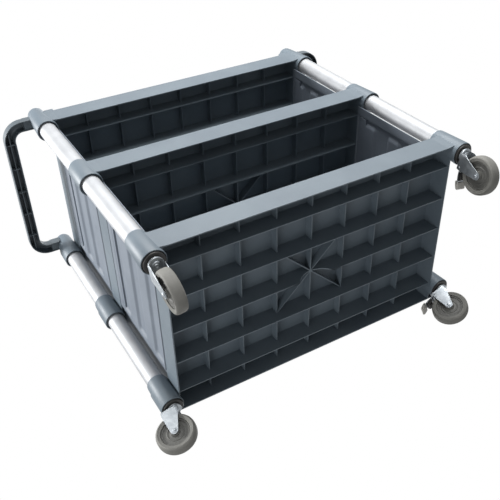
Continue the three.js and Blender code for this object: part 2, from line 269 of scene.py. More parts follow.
def ramp(tree, source, low, high):
    node = addNode(tree, "ShaderNodeMapRange", {"From Min": low, "From Max": high})
    tree.links.new(source, node.inputs["Value"])
    return node.outputs["Result"]


def grainGroup():
    # fine pebbled skin of moulded plastic, with slow swells left by cooling
    group, inside, outside = startGroup("mould grain", [
        ("Place", "NodeSocketVector", None), ("Grain Size", "NodeSocketFloat", 900.0),
        ("Grain Depth", "NodeSocketFloat", 0.2), ("Swell Depth", "NodeSocketFloat", 0.1),
    ], [("Normal", "NodeSocketVector"), ("Grain", "NodeSocketFloat")])
    fine = addNode(group, "ShaderNodeTexNoise", {"Detail": 3.0, "Roughness": 0.6})
    swell = addNode(group, "ShaderNodeTexNoise", {"Scale": 22.0, "Detail": 2.0})
    for node in (fine, swell):
        group.links.new(inside.outputs["Place"], node.inputs["Vector"])
    group.links.new(inside.outputs["Grain Size"], fine.inputs["Scale"])
    low = addNode(group, "ShaderNodeBump", {"Distance": 0.004})
    high = addNode(group, "ShaderNodeBump", {"Distance": 0.0004})
    group.links.new(swell.outputs["Fac"], low.inputs["Height"])
    group.links.new(inside.outputs["Swell Depth"], low.inputs["Strength"])
    group.links.new(fine.outputs["Fac"], high.inputs["Height"])
    group.links.new(inside.outputs["Grain Depth"], high.inputs["Strength"])
    group.links.new(low.outputs["Normal"], high.inputs["Normal"])
    group.links.new(high.outputs["Normal"], outside.inputs["Normal"])
    group.links.new(fine.outputs["Fac"], outside.inputs["Grain"])
    return group


def driftGroup():
    # slow colour drift plus faint specks and flow streaks
    group, inside, outside = startGroup("colour drift", [
        ("Place", "NodeSocketVector", None), ("Base", "NodeSocketColor", (0.2, 0.2, 0.2, 1)),
        ("Pale", "NodeSocketColor", (0.3, 0.3, 0.3, 1)), ("Amount", "NodeSocketFloat", 0.5),
        ("Drift Size", "NodeSocketFloat", 9.0),
    ], [("Color", "NodeSocketColor"), ("Drift", "NodeSocketFloat")])
    slow = addNode(group, "ShaderNodeTexNoise", {"Detail": 4.0, "Roughness": 0.55, "Distortion": 0.4})
    speck = addNode(group, "ShaderNodeTexNoise", {"Scale": 420.0, "Detail": 2.0})
    for node in (slow, speck):
        group.links.new(inside.outputs["Place"], node.inputs["Vector"])
    group.links.new(inside.outputs["Drift Size"], slow.inputs["Scale"])
    slowMask = ramp(group, slow.outputs["Fac"], 0.36, 0.66)
    speckMask = ramp(group, speck.outputs["Fac"], 0.35, 0.75)
    both = mathNode(group, "ADD", mathNode(group, "MULTIPLY", slowMask, 0.75),
                    mathNode(group, "MULTIPLY", speckMask, 0.25))
    share = mathNode(group, "MULTIPLY", both, inside.outputs["Amount"], clamp=True)
    group.links.new(mixColour(group, share, inside.outputs["Base"], inside.outputs["Pale"]),
                    outside.inputs["Color"])
    group.links.new(both, outside.inputs["Drift"])
    return group


def scuffGroup():
    # long thin rub marks in two directions, and a light film of dust
    group, inside, outside = startGroup("scuffs", [
        ("Place", "NodeSocketVector", None), ("Spread", "NodeSocketFloat", 0.5),
    ], [("Marks", "NodeSocketFloat"), ("Dust", "NodeSocketFloat")])
    masks = []
    for stretch, turn in (((26, 900, 900), 0.5), ((850, 32, 850), -0.35)):
        mapping = addNode(group, "ShaderNodeMapping", {"Scale": stretch, "Rotation": (0.3, 0.2, turn)})
        noise = addNode(group, "ShaderNodeTexNoise", {"Scale": 1.0, "Detail": 2.0, "Distortion": 0.2})
        group.links.new(inside.outputs["Place"], mapping.inputs["Vector"])
        group.links.new(mapping.outputs["Vector"], noise.inputs["Vector"])
        masks.append(ramp(group, noise.outputs["Fac"], 0.7, 0.8))
    both = mathNode(group, "MAXIMUM", masks[0], masks[1])
    patch = addNode(group, "ShaderNodeTexNoise", {"Scale": 14.0, "Detail": 3.0})
    group.links.new(inside.outputs["Place"], patch.inputs["Vector"])
    where = ramp(group, patch.outputs["Fac"], 0.5, 0.68)
    marks = mathNode(group, "MULTIPLY", both, where)
    group.links.new(mathNode(group, "MULTIPLY", marks, inside.outputs["Spread"]), outside.inputs["Marks"])
    group.links.new(mathNode(group, "MULTIPLY", where, inside.outputs["Spread"]), outside.inputs["Dust"])
    return group


def edgeGroup():
    # pale rubbed line along corners: where a softened normal leaves the true one
    group, inside, outside = startGroup("rubbed edges", [
        ("Place", "NodeSocketVector", None), ("Reach", "NodeSocketFloat", 0.0012),
    ], [("Edge", "NodeSocketFloat")])
    soft = addNode(group, "ShaderNodeBevel", samples=4)
    group.links.new(inside.outputs["Reach"], soft.inputs["Radius"])
    true = addNode(group, "ShaderNodeNewGeometry")
    dot = addNode(group, "ShaderNodeVectorMath", operation="DOT_PRODUCT")
    group.links.new(soft.outputs["Normal"], dot.inputs[0])
    group.links.new(true.outputs["Normal"], dot.inputs[1])
    bare = ramp(group, mathNode(group, "SUBTRACT", 1.0, dot.outputs["Value"]), 0.01, 0.12)
    patch = addNode(group, "ShaderNodeTexNoise", {"Scale": 60.0, "Detail": 3.0})
    group.links.new(inside.outputs["Place"], patch.inputs["Vector"])
    group.links.new(mathNode(group, "MULTIPLY", bare, ramp(group, patch.outputs["Fac"], 0.3, 0.6)),
                    outside.inputs["Edge"])
    return group


groups = {"grain": grainGroup(), "drift": driftGroup(), "scuffs": scuffGroup(), "edges": edgeGroup()}


def useGroup(tree, key, place, values):
    node = tree.nodes.new("ShaderNodeGroup")
    node.node_tree = groups[key]
    tree.links.new(place, node.inputs["Place"])
    for label, value in values.items():
        node.inputs[label].default_value = value
    return node


def startMaterial(name):
    material = bpy.data.materials.new(name)
    material.use_nodes = True
    tree = material.node_tree
    shader = tree.nodes["Principled BSDF"]
    place = tree.nodes.new("ShaderNodeTexCoord").outputs["Object"]
    return material, tree, shader, place


def mouldedPlastic(name, recipe):
    material, tree, shader, place = startMaterial(name)
    drift = useGroup(tree, "drift", place, {"Base": tone(*recipe["base"]), "Pale": tone(*recipe["pale"]),
                                            "Amount": recipe["drift"], "Drift Size": recipe["driftSize"]})
    scuffs = useGroup(tree, "scuffs", place, {"Spread": recipe["scuffs"]})
    edges = useGroup(tree, "edges", place, {"Reach": recipe["edgeReach"]})
    grain = useGroup(tree, "grain", place, {
        "Grain Size": recipe["grainSize"], "Grain Depth": recipe["grainDepth"], "Swell Depth": recipe["swell"],
    })
    rubbed = mixColour(tree, scuffs.outputs["Marks"], drift.outputs["Color"], tone(*recipe["mark"]))
    edgeShare = mathNode(tree, "MULTIPLY", edges.outputs["Edge"], recipe["edgeWear"])
    tree.links.new(mixColour(tree, edgeShare, rubbed, tone(*recipe["edge"])), shader.inputs["Base Color"])
    dull = mathNode(tree, "MULTIPLY", scuffs.outputs["Dust"], 0.12)
    shine = mathNode(tree, "MULTIPLY", grain.outputs["Grain"], 0.16)
    rough = mathNode(tree, "ADD", mathNode(tree, "ADD", shine, recipe["roughness"] - 0.08), dull)
    tree.links.new(rough, shader.inputs["Roughness"])
    tree.links.new(grain.outputs["Normal"], shader.inputs["Normal"])
    shader.inputs["Specular IOR Level"].default_value = recipe["specular"]
    return material


shelfFinish = {
    "base": (89, 100, 109), "pale": (103, 114, 122), "drift": 0.8, "driftSize": 7.0, "scuffs": 0.35,
    "mark": (126, 134, 140), "edgeReach": 0.0012, "edgeWear": 0.3, "edge": (128, 137, 143),
    "grainSize": 900.0, "grainDepth": 0.3, "swell": 0.012, "roughness": 0.5, "specular": 0.5,
}
handleFinish = dict(shelfFinish, base=(72, 81, 87), pale=(84, 92, 98), driftSize=14.0, scuffs=0.45)
panelFinish = dict(shelfFinish, base=(100, 108, 118), pale=(113, 121, 131), driftSize=10.0, roughness=0.55)
blackFinish = dict(shelfFinish, base=(22, 21, 20), pale=(36, 35, 33), mark=(60, 58, 56), edge=(70, 68, 65),
                   edgeWear=0.35, roughness=0.48)
tyreFinish = dict(shelfFinish, base=(108, 108, 104), pale=(122, 121, 117), mark=(96, 92, 86),
                  edge=(140, 136, 128), edgeWear=0.2, scuffs=0.8, driftSize=30.0, roughness=0.66,
                  grainSize=1400.0, specular=0.35)
coreFinish = dict(shelfFinish, base=(82, 82, 79), pale=(95, 95, 91), edge=(134, 133, 130), edgeWear=0.4,
                  driftSize=40.0, roughness=0.55)
tipFinish = dict(shelfFinish, base=(168, 166, 160), pale=(188, 187, 182), mark=(120, 118, 112),
                 edge=(206, 205, 200), driftSize=50.0, roughness=0.42)


def brushedTube(name, recipe):
    # drawn aluminium: fine lines along the tube, clouding and a few handling marks
    material, tree, shader, place = startMaterial(name)
    mapping = addNode(tree, "ShaderNodeMapping", {"Scale": (1500.0, 1500.0, 9.0)})
    lines = addNode(tree, "ShaderNodeTexNoise", {"Scale": 1.0, "Detail": 3.0})
    tree.links.new(place, mapping.inputs["Vector"])
    tree.links.new(mapping.outputs["Vector"], lines.inputs["Vector"])
    drift = useGroup(tree, "drift", place, {"Base": tone(*recipe["base"]), "Pale": tone(*recipe["pale"]),
                                            "Amount": 0.9, "Drift Size": recipe["driftSize"]})
    scuffs = useGroup(tree, "scuffs", place, {"Spread": recipe["scuffs"]})
    lined = mixColour(tree, mathNode(tree, "MULTIPLY", lines.outputs["Fac"], 0.25),
                      drift.outputs["Color"], tone(*recipe["line"]))
    tree.links.new(mixColour(tree, scuffs.outputs["Marks"], lined, tone(*recipe["mark"])),
                   shader.inputs["Base Color"])
    rough = mathNode(tree, "ADD", mathNode(tree, "MULTIPLY", lines.outputs["Fac"], 0.16),
                     mathNode(tree, "MULTIPLY", scuffs.outputs["Dust"], 0.12))
    tree.links.new(mathNode(tree, "ADD", rough, recipe["roughness"]), shader.inputs["Roughness"])
    bump = addNode(tree, "ShaderNodeBump", {"Strength": 0.12, "Distance": 0.0002})
    tree.links.new(lines.outputs["Fac"], bump.inputs["Height"])
    tree.links.new(bump.outputs["Normal"], shader.inputs["Normal"])
    shader.inputs["Metallic"].default_value = recipe["metal"]
    return material


def platedSteel(name, recipe):
    # bright zinc: cloudy crystal patches, fine scratches, a little dull film in the hollows
    material, tree, shader, place = startMaterial(name)
    drift = useGroup(tree, "drift", place, {"Base": tone(*recipe["base"]), "Pale": tone(*recipe["pale"]),
                                            "Amount": 1.0, "Drift Size": recipe["driftSize"]})
    scuffs = useGroup(tree, "scuffs", place, {"Spread": 0.6})
    patches = addNode(tree, "ShaderNodeTexVoronoi", {"Scale": 260.0})
    tree.links.new(place, patches.inputs["Vector"])
    grain = useGroup(tree, "grain", place, {"Grain Size": 500.0, "Grain Depth": 0.12, "Swell Depth": 0.05})
    tree.links.new(mixColour(tree, scuffs.outputs["Marks"], drift.outputs["Color"], tone(*recipe["mark"])),
                   shader.inputs["Base Color"])
    rough = mathNode(tree, "ADD", mathNode(tree, "MULTIPLY", patches.outputs["Distance"], 0.12),
                     mathNode(tree, "MULTIPLY", scuffs.outputs["Dust"], 0.2))
    tree.links.new(mathNode(tree, "ADD", rough, recipe["roughness"]), shader.inputs["Roughness"])
    tree.links.new(grain.outputs["Normal"], shader.inputs["Normal"])
    shader.inputs["Metallic"].default_value = 1.0
    return material


tubeFinish = {
    "base": (164, 166, 169), "pale": (180, 182, 184), "line": (146, 148, 152), "mark": (130, 132, 136),
    "driftSize": 16.0, "scuffs": 0.5, "roughness": 0.5, "metal": 0.6,
}
steelFinish = {"base": (150, 156, 161), "pale": (182, 187, 191), "mark": (120, 125, 129),
               "driftSize": 60.0, "roughness": 0.36}

shelfLook = mouldedPlastic("moulded shelf plastic", shelfFinish)
handleLook = mouldedPlastic("moulded handle plastic", handleFinish)
panelLook = mouldedPlastic("moulded panel plastic", panelFinish)
blackLook = mouldedPlastic("black bush plastic", blackFinish)
tyreLook = mouldedPlastic("grey tread rubber", tyreFinish)
coreLook = mouldedPlastic("wheel core plastic", coreFinish)
tipLook = mouldedPlastic("pale toe plastic", tipFinish)
tubeLook = brushedTube("drawn aluminium tube", tubeFinish)
steelLook = platedSteel("bright zinc steel", steelFinish)
print("materials made")


# ---- shelves ----

shelf = {
    "rimX": 404, "rimY": 250.5, "rimLow": 13.4, "rimTop": 79, "wall": 3, "deckLow": 69, "deckTop": 72,
    "ribThick": 2.6, "longPitch": 96, "longCount": 5, "longLow": 18,
    "crossPitch": 100.5, "crossCount": 7, "crossLow": 46.5,
    "archRadius": 58.1, "archDrop": -11.6, "archSteps": 16, "edgeRound": 0.7,
    "ledgeIn": 386, "ledgeTop": 74,
}


def ribPlaces(pitch, count):
    return [pitch * (index - (count - 1) / 2) for index in range(count)]


def splitAlong(bm, faces, point, normal):
    # kept in order, so that every run cuts the same way
    edges = list(dict.fromkeys(edge for face in faces for edge in face.edges))
    verts = list(dict.fromkeys(vert for face in faces for vert in face.verts))
    bmesh.ops.bisect_plane(bm, geom=verts + edges + list(faces), dist=1e-4,
                           plane_co=point, plane_no=normal)


def outerCorners(bm, angle):
    return [edge for edge in bm.edges if len(edge.link_faces) == 2 and edge.calc_face_angle_signed(0) > angle]


def pushFaces(bm, faces, distance):
    # the faces pushed from are taken away, or they would stay as walls inside the ribs
    made = bmesh.ops.extrude_face_region(bm, geom=faces)["geom"]
    bmesh.ops.translate(bm, vec=(0, 0, distance), verts=vertsOf(made))
    bmesh.ops.delete(bm, geom=faces, context="FACES")


def shelfTray():
    # ribbed tray: a sheet split along every rib, whose rib strips are drawn down to their depths
    half = shelf["ribThick"] / 2
    rimX, rimY, wall = shelf["rimX"], shelf["rimY"], shelf["wall"]
    longRibs = ribPlaces(shelf["longPitch"], shelf["longCount"])
    crossRibs = ribPlaces(shelf["crossPitch"], shelf["crossCount"])
    bm = bmesh.new()
    sheet = bmesh.ops.create_grid(bm, x_segments=1, y_segments=1, size=1)["verts"]
    bmesh.ops.scale(bm, vec=(rimX, rimY, 1), verts=sheet)
    bmesh.ops.translate(bm, vec=(0, 0, shelf["deckLow"]), verts=sheet)
    xCuts = [-rimX + wall, rimX - wall] + [x + side for x in crossRibs for side in (-half, half)]
    yCuts = [-rimY + wall, rimY - wall] + [y + side for y in longRibs for side in (-half, half)]
    for x in xCuts:
        splitAlong(bm, bm.faces[:], (x, 0, 0), (1, 0, 0))
    for y in yCuts:
        splitAlong(bm, bm.faces[:], (0, y, 0), (0, 1, 0))
    # two diagonals through the hub, as far as the four crossings around it
    reachX, reachY = shelf["crossPitch"], shelf["longPitch"]
    length = math.hypot(reachX, reachY)
    slants = [Vector((reachY, -reachX, 0)) / length, Vector((reachY, reachX, 0)) / length]
    for slant in slants:
        for side in (-half, half):
            near = [face for face in bm.faces if abs(face.calc_center_median().x) < reachX
                    and abs(face.calc_center_median().y) < reachY]
            splitAlong(bm, near, slant * side, slant)

    def onRim(spot):
        return abs(spot.x) > rimX - wall or abs(spot.y) > rimY - wall

    def onLong(spot):
        return any(abs(spot.y - y) < half for y in longRibs)

    def onCross(spot):
        return any(abs(spot.x - x) < half for x in crossRibs)

    def onSlant(spot):
        inside = abs(spot.x) < reachX and abs(spot.y) < reachY
        flat = Vector((spot.x, spot.y, 0))
        return inside and any(abs(flat.dot(slant)) < half for slant in slants)

    def facesAt(height, test):
        found = [(face, face.calc_center_median()) for face in bm.faces]
        return [face for face, spot in found if abs(spot.z - height) < 0.01 and test(spot)]

    raised = bmesh.ops.extrude_face_region(bm, geom=bm.faces[:])["geom"]
    bmesh.ops.translate(bm, vec=(0, 0, shelf["deckTop"] - shelf["deckLow"]), verts=vertsOf(raised))
    drops = (
        ("deckLow", "crossLow", lambda s: onRim(s) or onLong(s) or onCross(s) or onSlant(s)),
        ("crossLow", "longLow", lambda s: onRim(s) or onLong(s)),
        ("longLow", "rimLow", onRim),
        ("deckTop", "rimTop", onRim),
    )
    for start, end, test in drops:
        pushFaces(bm, facesAt(shelf[start], test), shelf[end] - shelf[start])
    bmesh.ops.recalc_face_normals(bm, faces=bm.faces)
    # the middle long rib arches up to the hub
    radius, drop = shelf["archRadius"], shelf["archDrop"]
    archHalf = math.sqrt(radius ** 2 - (shelf["longLow"] - drop) ** 2)
    for step in range(shelf["archSteps"] + 1):
        x = -archHalf + 2 * archHalf * step / shelf["archSteps"]
        rib = [face for face in bm.faces if abs(face.calc_center_median().y) < half + 0.1
               and face.calc_center_median().z < shelf["crossLow"] - 1
               and abs(face.calc_center_median().x) < archHalf + shelf["crossPitch"]]
        splitAlong(bm, rib, (x, 0, 0), (1, 0, 0))
    for vert in bm.verts:
        low = abs(vert.co.z - shelf["longLow"]) < 0.01
        if low and abs(vert.co.y) < half + 0.1 and abs(vert.co.x) < archHalf:
            vert.co.z = min(drop + math.sqrt(radius ** 2 - vert.co.x ** 2), shelf["crossLow"] - 0.2)
    # soften every outer corner of ribs and rims
    bmesh.ops.dissolve_limit(bm, angle_limit=0.001, verts=bm.verts, edges=bm.edges)
    convex = outerCorners(bm, 0.6)
    bmesh.ops.bevel(bm, geom=convex, offset=shelf["edgeRound"], segments=2, affect="EDGES", profile=0.5,
                    material=-1, clamp_overlap=True)
    return bm


collar = {
    "radius": 30.7, "shoulderRadius": 27.4, "shoulder": 90, "top": 96, "topRadius": 25.6,
    "domeTop": 136, "domeRadius": 24.4, "socket": 23.9, "mouth": 28.3, "mouthTop": 27.3, "mouthDeep": 7,
    "webLow": 46, "webTop": 50, "postX": 429, "frontY": -229, "backY": 213,
}


def collarBody(bm, x, y, domed):
    radius = collar["radius"]
    profile = [(0, 0), (radius - 1.6, 0), (radius - 0.5, 0.5), (radius, 1.6)]
    if domed:
        base = collar["domeTop"] - collar["domeRadius"]
        profile += [(collar["domeRadius"], base)] + arc(0, base, collar["domeRadius"], 8, 90, 12)
    else:
        profile += [(collar["shoulderRadius"], collar["shoulder"]), (27.1, 92), (26.7, 94), (26.2, 95.4),
                    (collar["topRadius"], collar["top"]), (0, collar["top"])]
    lathe(bm, profile, (x, y, 0))


def collarFlare(bm, x, y):
    side = 1 if x > 0 else -1
    rimY = shelf["rimY"]
    if y < 0:
        shape = [(430, -254.5), (408, -252.4), (388, -rimY + 0.2), (388, -rimY + 2), (430, -rimY + 2)]
    else:
        shape = [(424, rimY - 0.4)] + arc(436, 229, 19.5, 78, 12, 6) + [(455, 205), (424, 205)]
    outline = [(side * x, y) for x, y in shape]
    plate(bm, outline, shelf["rimLow"] + 0.4, shelf["rimTop"] - 1.5, facing="Z")


def shelfPiece(level):
    domed = level == 2
    shell = copyOf(trayShape)
    extra = bmesh.new()
    cutter = bmesh.new()
    wall, rimX, rimY = shelf["wall"], shelf["rimX"], shelf["rimY"]
    for tag in cornerTags:
        x, y = postPlace[tag].x, postPlace[tag].y
        side = 1 if x > 0 else -1
        near, far = sorted((side * (rimX - 2), side * collar["postX"]))
        outY, inY = (-rimY, -rimY + wall) if y < 0 else (rimY - wall, rimY)
        extra = added(extra, block, (near, outY, shelf["rimLow"]), (far, inY, shelf["rimTop"]), 0.7)
        deckY = (-rimY + 1, -210) if y < 0 else (200, rimY - 1)
        extra = added(extra, block, (near, deckY[0], shelf["deckLow"]), (far, deckY[1], shelf["deckTop"]))
        extra = added(extra, collarBody, x, y, domed)
        extra = added(extra, collarFlare, x, y)
        if domed:
            x0 = 384 if side > 0 else -412
            lip = -rimY if y < 0 else rimY - 16
            extra = added(extra, block, (x0, lip, shelf["deckTop"] - 1), (x0 + 28, lip + 16, 93), 3, 3)
        bore = [(0, -1), (collar["mouth"] + 0.9, -1), (collar["mouth"], 0.9),
                (collar["mouthTop"], collar["mouthDeep"]),
                (collar["socket"] + 0.8, collar["mouthDeep"]), (collar["socket"], collar["mouthDeep"] + 0.8),
                (collar["socket"], collar["webLow"]), (0, collar["webLow"])]
        lathe(cutter, bore, (x, y, 0))
        if not domed:
            upper = [(0, collar["webTop"]), (collar["socket"], collar["webTop"]),
                     (collar["socket"], collar["top"] - 0.8), (collar["socket"] + 0.8, collar["top"] + 0.01),
                     (collar["socket"] + 0.8, collar["top"] + 2), (0, collar["top"] + 2)]
            lathe(cutter, upper, (x, y, 0))
    if not domed:
        # ledges that carry the end panels
        for side in (-1, 1):
            near, far = sorted((side * shelf["ledgeIn"], side * (rimX - 2)))
            low, high = shelf["deckTop"] - 1, shelf["ledgeTop"]
            extra = added(extra, block, (near, -rimY + 1, low), (far, rimY - 1, high))
    shell = combine(shell, extra, "UNION")
    shell = combine(shell, cutter, "DIFFERENCE")
    bmesh.ops.translate(shell, vec=(0, 0, shelfBase[level]), verts=shell.verts)
    return shell


trayShape = shelfTray()
for level, name in enumerate(("bottom_shelf", "middle_shelf", "top_shelf")):
    finish(name + "_moulding", shelfPiece(level), shelfLook, "cart", [name],
           even=False, flatWalls=True)
    print("shelf", level, "done")
trayShape.free()


# ---- posts ----

post = {"radius": 23.6, "wall": 1.6, "chamfer": 0.4}
for tag in cornerTags:
    for tier in ("lower", "upper"):
        node = "post_" + tier + "_" + tag
        low, high = nodeBox(node)
        middle = (low + high) / 2
        outer, inner, cut = post["radius"], post["radius"] - post["wall"], post["chamfer"]
        bm = bmesh.new()
        ring = [(inner, low.z + cut), (inner + cut, low.z), (outer - cut, low.z), (outer, low.z + cut),
                (outer, high.z - cut), (outer - cut, high.z), (inner + cut, high.z), (inner, high.z - cut)]
        lathe(bm, ring, (middle.x, middle.y, 0), steps=72, closed=True)
        finish(node + "_tube", bm, tubeLook, "cart", [node])
print("posts done")


# ---- end panels ----

panel = {
    "skin": 2.5, "base": 397.8, "raise": 5.9,
    "frontY": -221, "backY": 244, "fieldFront": -196, "fieldBack": 178,
    "fluteFront": -183, "fluteBack": 165, "slope": 11, "fluteRound": 16, "fieldSlope": 2.5,
    "headBand": 36, "stepsY": 110, "stepsZ": 112,
}
fluteSets = {
    "lower": {"middles": (243, 348, 453), "half": 29},
    "upper": {"middles": (660, 740, 818), "half": 26},
}


def ease(share):
    share = min(max(share, 0.0), 1.0)
    return share * share * (3 - 2 * share)


def panelRise(y, z, fieldLow, fieldHigh, flutes):
    # height of the raised field at one spot, less the flutes pressed back into it
    edge = min(y - panel["fieldFront"], panel["fieldBack"] - y, z - fieldLow, fieldHigh - z)
    centreY = (panel["fluteFront"] + panel["fluteBack"]) / 2
    halfY = (panel["fluteBack"] - panel["fluteFront"]) / 2
    corner = panel["fluteRound"]
    pressed = 0.0
    for middle in flutes["middles"]:
        shortY = max(corner - (halfY - abs(y - centreY)), 0)
        shortZ = max(corner - (flutes["half"] - abs(z - middle)), 0)
        pressed = max(pressed, ease((corner - math.hypot(shortY, shortZ)) / panel["slope"]))
    return panel["raise"] * ease(edge / panel["fieldSlope"]) * (1 - pressed)


def panelSheet(low, high, fieldLow, fieldHigh, flutes):
    # fine sheet in the YZ plane at x = 0 whose field swells towards -X
    frontY, backY = panel["frontY"], panel["backY"]
    bm = bmesh.new()
    grid = bmesh.ops.create_grid(bm, x_segments=panel["stepsZ"], y_segments=panel["stepsY"], size=1)["verts"]
    bmesh.ops.rotate(bm, verts=grid, cent=(0, 0, 0), matrix=Matrix.Rotation(-math.pi / 2, 3, "Y"))
    bmesh.ops.scale(bm, vec=(1, (backY - frontY) / 2, (high - low) / 2), verts=grid)
    bmesh.ops.translate(bm, vec=(0, (backY + frontY) / 2, (high + low) / 2), verts=grid)
    for vert in bm.verts:
        vert.co.x = -panelRise(vert.co.y, vert.co.z, fieldLow, fieldHigh, flutes)
    if sum(face.normal.x * face.calc_area() for face in bm.faces) > 0:
        bmesh.ops.reverse_faces(bm, faces=bm.faces)
    bmesh.ops.solidify(bm, geom=bm.faces[:], thickness=panel["skin"])
    bmesh.ops.recalc_face_normals(bm, faces=bm.faces)
    # the field is solid behind its top edge
    low = (-panel["raise"] + panel["skin"] / 2, panel["fieldFront"] + 4, fieldHigh - panel["headBand"])
    high = (panel["skin"] - 0.02, panel["fieldBack"] - 4, fieldHigh - 4)
    return added(bm, block, low, high, 0.6)


for tier, level in (("lower", 0), ("upper", 1)):
    for end, side in (("left", 1), ("right", -1)):
        node = "panel_" + tier + "_" + end
        low, high = nodeBox(node)
        fieldLow = shelfBase[level] + shelf["rimTop"] + 7
        fieldHigh = shelfBase[level + 1] + shelf["rimLow"] - 0.4
        bm = panelSheet(low.z, high.z, fieldLow, fieldHigh, fluteSets[tier])
        bmesh.ops.translate(bm, vec=(-panel["base"], 0, 0), verts=bm.verts)
        if side < 0:
            bm = copyOf(bm, Matrix.Scale(-1, 4, (1, 0, 0)))
        piece = finish(node + "_sheet", bm, panelLook, "cart", [node], even=False)
        soften = piece.modifiers.new("soft edge", "BEVEL")
        soften.width = 0.6 * metre
        soften.segments = 2
        soften.limit_method = "ANGLE"
        soften.angle_limit = math.radians(60)
        shading = piece.modifiers.new("even shading", "WEIGHTED_NORMAL")
        shading.keep_sharp = True
print("panels done")


# ---- handles ----

handle = {
    "grip": 538, "width": 31, "low": 921, "high": 949.5, "span": 228, "round": 57, "wall": 2.6,
    "edge": 8, "ribGap": 78, "ribShift": -6, "ribLow": 6,
}


def handleSection():
    # open channel, mouth down, drawn across the arm: first number from the outer side, second the height
    width, low, high, wall, edge = (handle[key] for key in ("width", "low", "high", "wall", "edge"))
    outside = [(0.5, low), (0, low + 0.8), (0, high - edge)] + arc(edge, high - edge, edge, 165, 90, 5)
    outside += arc(width - edge, high - edge, edge, 90, 15, 5) + [(width, high - edge), (width, low + 0.8),
                                                                   (width - 0.5, low)]
    inner = edge - wall
    inside = [(width - wall + 0.4, low), (width - wall, low + 0.8), (width - wall, high - edge)]
    inside += arc(width - edge, high - edge, inner, 15, 90, 4) + arc(edge, high - edge, inner, 90, 165, 4)
    inside += [(wall, high - edge), (wall, low + 0.8), (wall - 0.4, low)]
    return outside + inside


def handleShape():
    # the section runs out along one arm, round both corners and back along the other
    grip, span, bend = handle["grip"], handle["span"], handle["round"]
    middle = (collar["frontY"] + collar["backY"]) / 2
    bm = bmesh.new()
    start = -449.0
    verts = [bm.verts.new((start, middle - span + across, height)) for across, height in handleSection()]
    edges = [bm.edges.new((verts[k], verts[(k + 1) % len(verts)])) for k in range(len(verts))]

    def run(geom, push):
        made = bmesh.ops.extrude_edge_only(bm, edges=edgesOf(geom))["geom"]
        ends = vertsOf(made)
        bmesh.ops.translate(bm, vec=push, verts=ends)
        return ends + [edge for edge in edgesOf(made) if all(vert in ends for vert in edge.verts)]

    def corner(geom, centre):
        return bmesh.ops.spin(bm, geom=geom, cent=centre, axis=(0, 0, 1), dvec=(0, 0, 0),
                              angle=-math.pi / 2, steps=14)["geom_last"]

    line = run(edges, (-(grip - bend) - start, 0, 0))
    line = corner(line, (-(grip - bend), middle - span + bend, 0))
    line = run(line, (0, 2 * (span - bend), 0))
    line = corner(line, (-(grip - bend), middle + span - bend, 0))
    line = run(line, (start + grip - bend, 0, 0))
    for ring in (edges, edgesOf(line)):
        bmesh.ops.edgeloop_fill(bm, edges=ring)
    bmesh.ops.recalc_face_normals(bm, faces=bm.faces)
    # webs left standing in the channel
    spine = -grip + handle["width"] / 2
    webLow, webHigh = handle["low"] + handle["ribLow"], handle["high"] - 1.2
    bm = added(bm, block, (spine - 1, middle - span + 30, webLow),
               (spine + 1, middle + span - 30, webHigh), 0.4)
    for step in range(-2, 3):
        y = middle + handle["ribShift"] + step * handle["ribGap"]
        bm = added(bm, block, (-grip + 1.2, y - 1, webLow),
                   (-grip + handle["width"] - 1.2, y + 1, webHigh), 0.4)
    # solid roots where the arms enter the domed collars
    for side in (-1, 1):
        y = middle + side * (span - handle["width"] / 2)
        bm = added(bm, block, (-474, y - 14.5, handle["low"] + 4), (-445, y + 14.5, handle["high"] - 1.5), 0.5)
    return bm


for name, turn in (("left_handle", 0), ("right_handle", math.pi)):
    bm = handleShape()
    middle = (collar["frontY"] + collar["backY"]) / 2
    bmesh.ops.rotate(bm, verts=bm.verts, cent=(0, middle, 0), matrix=Matrix.Rotation(turn, 3, "Z"))
    finish(name + "_moulding", bm, handleLook, "cart", [name], smoothAngle=40)
print("handles done")


# ---- casters ----

caster = {
    "wheelRadius": 50, "wheelHalf": 14, "trail": 26.5, "legInner": 16, "legOuter": 18.5,
    "crownLow": 112, "crownHigh": 115.5, "axleRadius": 5.7, "bend": 3.2,
}


def bothSides(side):
    return [(radius, -across) for radius, across in side] + side[::-1]


def tyreShape(bm):
    # crowned tread, rounded shoulders, a stepped side that drops to the core
    side = [(36, 9.5), (36.6, 11.6), (37.6, 12.4), (41.8, 12.9), (42.6, 13.5), (44.5, caster["wheelHalf"]),
            (46.6, 13.2), (48.4, 11.2), (49.4, 8.6), (49.9, 5.4), (caster["wheelRadius"], 2.0)]
    lathe(bm, bothSides(side), axis="Y", steps=96, closed=True)


def coreShape(bm):
    # dished disc with a raised inner ring and a stubby hub
    rim = 35.7
    side = [(5.8, 14), (10.6, 14), (11.5, 13.2), (12.3, 9.0), (13.4, 8.2), (18.6, 7.8), (19.4, 8.6),
            (20.2, 8.9), (21.6, 8.9), (22.4, 8.4), (23.2, 7.4), (29.8, 7.0), (31.2, 7.6), (32.0, 9.0),
            (33.2, 9.4), (35.0, 9.4), (rim, 8.8)]
    lathe(bm, bothSides(side), axis="Y", steps=80, closed=True)


def axleShape(bm):
    reach = caster["legOuter"] + 0.3
    radius = caster["axleRadius"]
    shaft = [(0, -reach - 0.2), (radius, -reach - 0.2), (radius, reach + 0.2), (0, reach + 0.2)]
    lathe(bm, shaft, axis="Y", steps=32)
    # a peened rivet on a washer at each end
    shape = bm
    for side in (-1, 1):
        head = bmesh.new()
        rivet = [(0, reach), (6.6, reach), (6.9, reach + 0.4), (6.6, reach + 0.8), (4.4, reach + 0.9),
                 (4.3, reach + 1.8), (3.2, reach + 2.8), (0, reach + 3.3)]
        lathe(head, [(radius, side * away) for radius, away in rivet], axis="Y", steps=36)
        shape = combine(shape, head, "UNION")
    return shape


